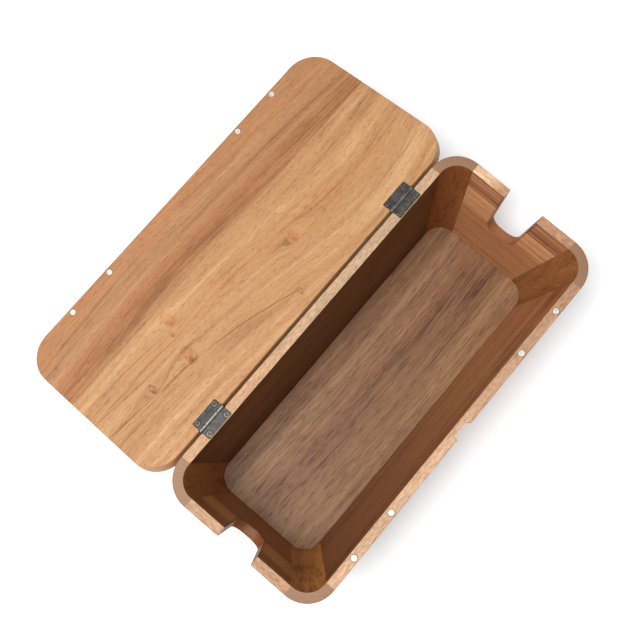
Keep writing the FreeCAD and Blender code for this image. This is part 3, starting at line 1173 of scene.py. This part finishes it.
    def build(self, steel: bpy.types.Material, screw_steel: bpy.types.Material) -> None:
        """Makes both leaves, the pin and the screws.

        Args:
            steel: The leaves' and the pin's finish.
            screw_steel: The screws' finish.
        """
        for side in Side:
            name = f"{self.side}_hinge_{side.value}"
            shells = [self.plate()] + [self.rolled(*span) for span in self.spans(side)]
            heads = [self.screw(x, y) for x, y in self.screw_places()]
            shells, heads = (
                [(side.place(points), faces) for points, faces in group] for group in (shells, heads)
            )
            leaf = piece_from(f"{name}_plate", shells)
            dress(leaf, side.value, steel, f"{name}_leaf")
            screws = piece_from(f"{name}_screw_pair", heads)
            dress(screws, side.value, screw_steel, f"{name}_screws")
        pin = piece_from(f"{self.side}_hinge_rod", [self.pin_surface()])
        dress(pin, "box", steel, f"{self.side}_hinge_pin")


@dataclass
class Magnets:
    """The four pairs of disc magnets that hold the lid shut."""

    places: tuple[float, ...] = (-142.5 * MM, -92 * MM, 92 * MM, 142.5 * MM)
    inset: float = 4.6 * MM
    radius: float = 3 * MM
    thickness: float = 3 * MM
    ease: float = 0.4 * MM
    dish: float = 0.05 * MM

    def disc(self, x: float) -> Surface:
        """Makes a plated disc: a faintly dished face, a round arris, a side and a flat back.

        Args:
            x: Where it stands along X.

        Returns:
            The shell, in the rim of the box.
        """
        face = np.linspace(0, self.radius - self.ease, 12)
        cr, ch = eased_corner(self.radius, 0.0, self.ease, 7)
        radii = np.concatenate([face[:-1], cr, [self.radius, 0.0]])
        dished = -self.dish * np.cos(face[:-1] / face[-1] * np.pi / 2)
        heights = np.concatenate([dished, ch, [-self.thickness, -self.thickness]])
        points, faces = turned(radii, heights, 64)
        return points + np.array([x, -BOX.rim_width / 2 + self.inset, BOX.rim_height]), faces

    def build(self, plating: bpy.types.Material) -> None:
        """Makes the four discs of each side.

        Args:
            plating: The magnets' finish.
        """
        for side, name in ((Side.BOX, "rim_magnet"), (Side.LID, "lid_magnet")):
            for number, x in enumerate(self.places, 1):
                points, faces = self.disc(x)
                disc = piece_from(f"{name}_disc_{number}", [(side.place(points), faces)])
                dress(disc, side.value, plating, f"{name}_{number}")


@dataclass
class BoxBody:
    """The walls, posts and bottom panel of the box."""

    front: Tones = Tones((0.175, 0.062, 0.022), (0.330, 0.140, 0.058), (0.440, 0.210, 0.098))
    back: Tones = Tones((0.046, 0.012, 0.0025), (0.123, 0.040, 0.008), (0.207, 0.077, 0.016))
    left_end: Tones = Tones((0.165, 0.056, 0.014), (0.315, 0.128, 0.038), (0.420, 0.192, 0.064))
    right_end: Tones = Tones((0.215, 0.078, 0.028), (0.440, 0.198, 0.087), (0.600, 0.310, 0.152))
    posts_wood: tuple[Tones, ...] = (
        Tones((0.235, 0.082, 0.020), (0.450, 0.182, 0.048), (0.585, 0.265, 0.076)),
        Tones((0.138, 0.047, 0.013), (0.268, 0.102, 0.033), (0.352, 0.148, 0.052)),
        Tones((0.146, 0.045, 0.009), (0.282, 0.099, 0.022), (0.370, 0.143, 0.036)),
        Tones((0.126, 0.038, 0.009), (0.246, 0.082, 0.021), (0.323, 0.121, 0.034)),
    )
    panel: Tones = Tones((0.093, 0.038, 0.018), (0.222, 0.108, 0.051), (0.312, 0.169, 0.085))
    post_top: Colour = (0.272, 0.154, 0.092)
    # The tint of the painted shade in the slots.
    slot_painted_shade: Colour = (0.62, 0.52, 0.46)
    slot_ease: float = 2.4 * MM
    panel_ease: float = 0.6 * MM
    joints: tuple[tuple[Triple, float], ...] = field(init=False)

    def __post_init__(self) -> None:
        """Works out the planes of the glue joints between walls and posts, which lean inward."""
        lean = BOX.lean
        size = math.hypot(1.0, lean)
        end = BOX.rim_length / 2 - BOX.post_leg - BOX.rim_height * lean
        side = BOX.rim_width / 2 - BOX.post_leg - BOX.rim_height * lean
        self.joints = tuple(
            ((sx / size, sy / size, -lean / size), offset / size)
            for sx, sy, offset in ((1, 0, end), (-1, 0, end), (0, 1, side), (0, -1, side))
        )

    def long_walls(self) -> list[Board]:
        """Describes the front and back walls, with the grain along the box.

        Returns:
            Both boards.
        """
        front_ends = ((0.62, 0.52, 0.42), (1.36, 1.34, 1.38))
        front_rim = ((0.590, 0.370, 0.225), (0.435, 0.255, 0.152))
        back_rim = ((0.560, 0.322, 0.174), (0.535, 0.352, 0.216))
        along = Grain.ALONG_BOX
        made = []
        for node, tones, shift, ends, rim in (
            ("front_wall", self.front, 11.0, front_ends, front_rim),
            ("back_wall", self.back, 23.0, None, back_rim),
        ):
            timber = Timber(f"{node}_timber", tones, along, shift, contrast=0.85, ends=ends, rim=rim)
            made.append(Board(node, "box", "wall_wood", timber))
        return made

    def end_walls(self) -> list[Board]:
        """Describes the two slotted end walls, each glued up from strips of different boards.

        Returns:
            Both boards.
        """
        top = BOX.rim_height
        strips = (
            Strip(top - 27 * MM, top + 1 * MM, (0.90, 0.82, 0.84), 1.9),
            Strip(top - 60 * MM, top - 27 * MM, (1.44, 1.50, 1.66), 0.95),
        )
        left_rim = ((0.458, 0.256, 0.142), (0.500, 0.295, 0.168))
        right_rim = ((0.500, 0.268, 0.156), (0.715, 0.482, 0.298))
        made = []
        for node, tones, shift, rim in (
            ("left_end_wall", self.left_end, 31.0, left_rim),
            ("right_end_wall", self.right_end, 47.0, right_rim),
        ):
            timber = Timber(
                f"{node}_timber", tones, Grain.ACROSS_BOX, shift, contrast=0.6, veins=0.06,
                strips=strips, rim=rim, rim_fade=15 * MM, slot_painted_shade=self.slot_painted_shade,
            )
            made.append(Board(node, "box", "wall_wood", timber, slot_ease=self.slot_ease))
        return made

    def posts(self) -> list[Board]:
        """Describes the four corner posts, with upright grain that shows its end at the rim.

        Returns:
            The four posts.
        """
        made = []
        nodes = [f"corner_post_{y}_{x}" for y in ("front", "back") for x in ("left", "right")]
        for number, (node, tones) in enumerate(zip(nodes, self.posts_wood)):
            timber = Timber(
                f"{node}_timber", tones, Grain.UPRIGHT, 61.0 + 7 * number, veins=0.0, pores=0.16,
                rim=(self.post_top, self.post_top), end_grain=True,
            )
            made.append(Board(node, "box", "post_wood", timber))
        return made

    def boards(self) -> list[Board]:
        """Describes every wooden piece of the box.

        Returns:
            The walls, the posts and the bottom panel.
        """
        timber = Timber(
            "bottom_panel_timber", self.panel, Grain.ALONG_BOX, 97.0, contrast=0.95, pores=0.42,
            pore_run=75.0,
        )
        bottom = Board("bottom_panel", "box", "panel_wood", timber, ease=self.panel_ease)
        pieces = [*self.long_walls(), *self.end_walls(), *self.posts(), bottom]
        for piece in pieces:
            piece.joints = self.joints
        return pieces


@dataclass
class Lid:
    """The lid's two edge-glued boards, in the axes of the open lid."""

    near: Tones = Tones((0.285, 0.130, 0.049), (0.445, 0.232, 0.102), (0.565, 0.340, 0.168))
    far: Tones = Tones((0.240, 0.104, 0.042), (0.392, 0.194, 0.088), (0.500, 0.278, 0.130))
    ease: float = 0.5 * MM

    def knots(self) -> tuple[Knot, ...]:
        """The back board's knots: where, how large and how dark."""
        return tuple(
            Knot(along * MM, across * MM, size * MM, darkness)
            for along, across, size, darkness in (
                (-90, 96, 5.2, 0.30),
                (-98.5, 82.5, 1.8, 0.65),
                (-102, 56, 5.0, 0.60),
                (-147, 60.5, 2.9, 0.85),
                (-183.6, 86, 0.9, 0.80),
                (7, 16, 2.4, 0.45),
                (43, 57, 3.2, 0.30),
            )
        )

    def lines(self) -> tuple[Vein, ...]:
        """The back board's most visible dark lines, which run on from its knots."""
        return (
            Vein(-104 * MM, 20 * MM, 50 * MM, -0.18, -1.0, 1.0 * MM, 0.85),
            Vein(-96 * MM, 10 * MM, 42 * MM, -0.20, -1.0, 9.0 * MM, 0.26),
            Vein(-150 * MM, -96 * MM, 54.5 * MM, -0.08, 0.0, 1.6 * MM, 0.62),
            Vein(-208 * MM, -140 * MM, 61 * MM, -0.10, 0.0, 0.9 * MM, 0.62),
            Vein(-208 * MM, -150 * MM, 80 * MM, -0.13, 0.0, 0.8 * MM, 0.55),
            Vein(-166 * MM, -98 * MM, 74 * MM, -0.07, 0.0, 0.8 * MM, 0.60),
            Vein(-208 * MM, -92 * MM, 95 * MM, -0.02, -0.6, 0.8 * MM, 0.50),
            Vein(130 * MM, 206 * MM, 27.5 * MM, 0.02, 0.9, 0.8 * MM, 0.50),
            Vein(110 * MM, 206 * MM, 54.5 * MM, -0.04, 1.0, 0.8 * MM, 0.40),
        )

    def far_lines(self) -> tuple[Vein, ...]:
        """The front board's dark lines: thin ones by the joint, and one broad streak."""
        return (
            Vein(-208 * MM, -110 * MM, 120 * MM, 0.02, 0.0, 0.8 * MM, 0.60),
            Vein(-60 * MM, 20 * MM, 119 * MM, -0.05, 0.0, 0.8 * MM, 0.45),
            Vein(-70 * MM, 240 * MM, 139 * MM, 0.07, -0.40, 5.5 * MM, 0.26),
            Vein(40 * MM, 200 * MM, 141 * MM, 0.00, -0.40, 0.9 * MM, 0.45),
            Vein(-190 * MM, -40 * MM, 152 * MM, 0.14, -0.50, 1.0 * MM, 0.35),
        )

    def boards(self) -> list[Board]:
        """Describes both boards of the lid.

        Returns:
            The board by the hinges, and the one with the magnets.
        """
        tilt = BOX.lid_past_flat
        offset = BOX.axis_y * math.cos(tilt) - BOX.axis_z * math.sin(tilt) + BOX.lid_joint
        joint = ((0.0, math.cos(tilt), -math.sin(tilt)), offset)
        axis = (0.0, BOX.axis_y, BOX.axis_z)
        near = Timber(
            "lid_back_board_timber", self.near, Grain.ALONG_LID, 3.0, axis, contrast=0.85,
            knots=self.knots(), lines=self.lines(),
            bows=(Bow(115 * MM, 130 * MM, 20 * MM, 60 * MM, 34 * MM),),
            bands=(Band(38 * MM, 15 * MM, (0.93, 0.84, 0.80), 0.5),),
        )
        far = Timber(
            "lid_front_board_timber", self.far, Grain.ALONG_LID, 14.0, axis, drift=4 * MM,
            contrast=0.85, lines=self.far_lines(),
            bows=(Bow(-80 * MM, 200 * MM, 160 * MM, 70 * MM, -22 * MM),),
            bands=(
                Band(110 * MM, 14 * MM, (0.95, 0.80, 0.72), 0.9),
                Band(127 * MM, 7 * MM, (0.90, 0.88, 0.88), 0.45),
            ),
        )
        return [
            Board(f"lid_{place}_board", "lid", "lid_wood", timber, self.ease, joints=(joint,))
            for place, timber in (("back", near), ("front", far))
        ]


@dataclass
class Studio:
    """A pale floor that glows faintly, as a light table does, one soft lamp and the camera."""

    eye: Triple = (-0.11221, 0.00156, 0.94921)
    view: Triple = (0.1328, 0.08788, -0.98724)
    up: Triple = (0.75081, 0.64132, 0.15808)
    focal: float = 51.57
    sensor: float = 36.0
    nearest: float = 0.01
    floor_radius: float = 6.0
    floor_drop: float = 0.02 * MM
    floor_glow: float = 0.19
    floor_tones: tuple[Colour, Colour] = ((0.90, 0.925, 0.95), (0.92, 0.945, 0.97))
    lamp_place: Triple = (-0.58, 0.38, 1.96)
    lamp_aim: Triple = (0.0, 0.05, 0.1)
    lamp_size: float = 1.0
    lamp_power: float = 44.0
    lamp_colour: Colour = (1.0, 0.99, 0.975)
    sky: float = 0.45
    sky_colour: Colour = (1.0, 0.995, 0.985)

    def paper(self) -> bpy.types.Material:
        """Makes the floor's finish.

        Returns:
            The finished material.
        """
        graph = Graph("studio_paper")
        cloud = graph.noise(graph.place, (3.0, 3.0, 3.0), 2.0)
        tone = graph.ramp(cloud, tuple(enumerate(self.floor_tones)))
        rough = graph.linear(cloud, 0.0, 1.0, (0.8, 0.9))
        tooth = graph.noise(graph.place, (900.0, 900.0, 900.0), 2.0, 4.0)
        glow = {"Emission_Color": (1.0, 1.0, 1.0, 1.0), "Emission_Strength": self.floor_glow}
        return graph.shade(tone, rough, tooth, 0.02 * MM, Specular_IOR_Level=0.2, **glow)

    def floor(self) -> None:
        """Makes a wide pale disc: rings whose radii grow as a square, level with the base."""
        radii = self.floor_radius * np.linspace(0, 1, 24) ** 2
        angle = np.linspace(0, 2 * np.pi, 96, endpoint=False)
        x = radii[:, None] * np.cos(angle)
        y = radii[:, None] * np.sin(angle)
        points = np.stack([x, y, np.full_like(x, -self.floor_drop)], axis=-1).reshape(-1, 3)
        faces = grid_faces(len(radii), len(angle), wrap_columns=True)
        ground = piece_from("studio_floor", [(points, faces)])
        ground.data.materials.append(self.paper())

    def lamp(self) -> None:
        """Makes a square soft light that is aimed at the middle of the box."""
        data = bpy.data.lights.new("key", "AREA")
        data.shape = "SQUARE"
        data.size = self.lamp_size
        data.energy = self.lamp_power
        data.color = self.lamp_colour
        light = bpy.data.objects.new("key", data)
        light.location = self.lamp_place
        aim = Vector(self.lamp_aim) - Vector(self.lamp_place)
        light.rotation_euler = aim.to_track_quat("-Z", "Y").to_euler()
        bpy.context.scene.collection.objects.link(light)

    def camera(self) -> None:
        """Makes the camera from its place, its view and its upward direction."""
        camera = bpy.data.objects.new("photo_camera", bpy.data.cameras.new("photo_camera"))
        camera.data.sensor_width = self.sensor
        camera.data.lens = self.focal
        camera.data.clip_start = self.nearest
        back = -Vector(self.view).normalized()
        right = Vector(self.up).cross(back).normalized()
        turn = Matrix((right, back.cross(right), back)).transposed()
        camera.matrix_world = Matrix.Translation(self.eye) @ turn.to_4x4()
        bpy.context.scene.collection.objects.link(camera)
        bpy.context.scene.camera = camera

    def build(self) -> None:
        """Makes the floor, the lamp, the air's light and the camera."""
        self.floor()
        scene = bpy.context.scene
        scene.view_settings.view_transform = "Standard"
        world = bpy.data.worlds.new("studio_air")
        world.use_nodes = True
        air = world.node_tree.nodes["Background"]
        air.inputs["Color"].default_value = (*self.sky_colour, 1.0)
        air.inputs["Strength"].default_value = self.sky
        scene.world = world
        self.lamp()
        self.camera()


def main() -> None:
    """Builds every piece around the frame, then the studio."""
    logging.basicConfig(level=logging.INFO, format="%(message)s")
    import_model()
    for board in BoxBody().boards() + Lid().boards():
        board.build()
    steel, screw_steel = HINGE_PLATING.build(), SCREW_PLATING.build()
    Hinge("left", -BOX.hinge_place).build(steel, screw_steel)
    Hinge("right", BOX.hinge_place).build(steel, screw_steel)
    Magnets().build(MAGNET_PLATING.build())
    Studio().build()


if __name__ == "__main__":
    main()
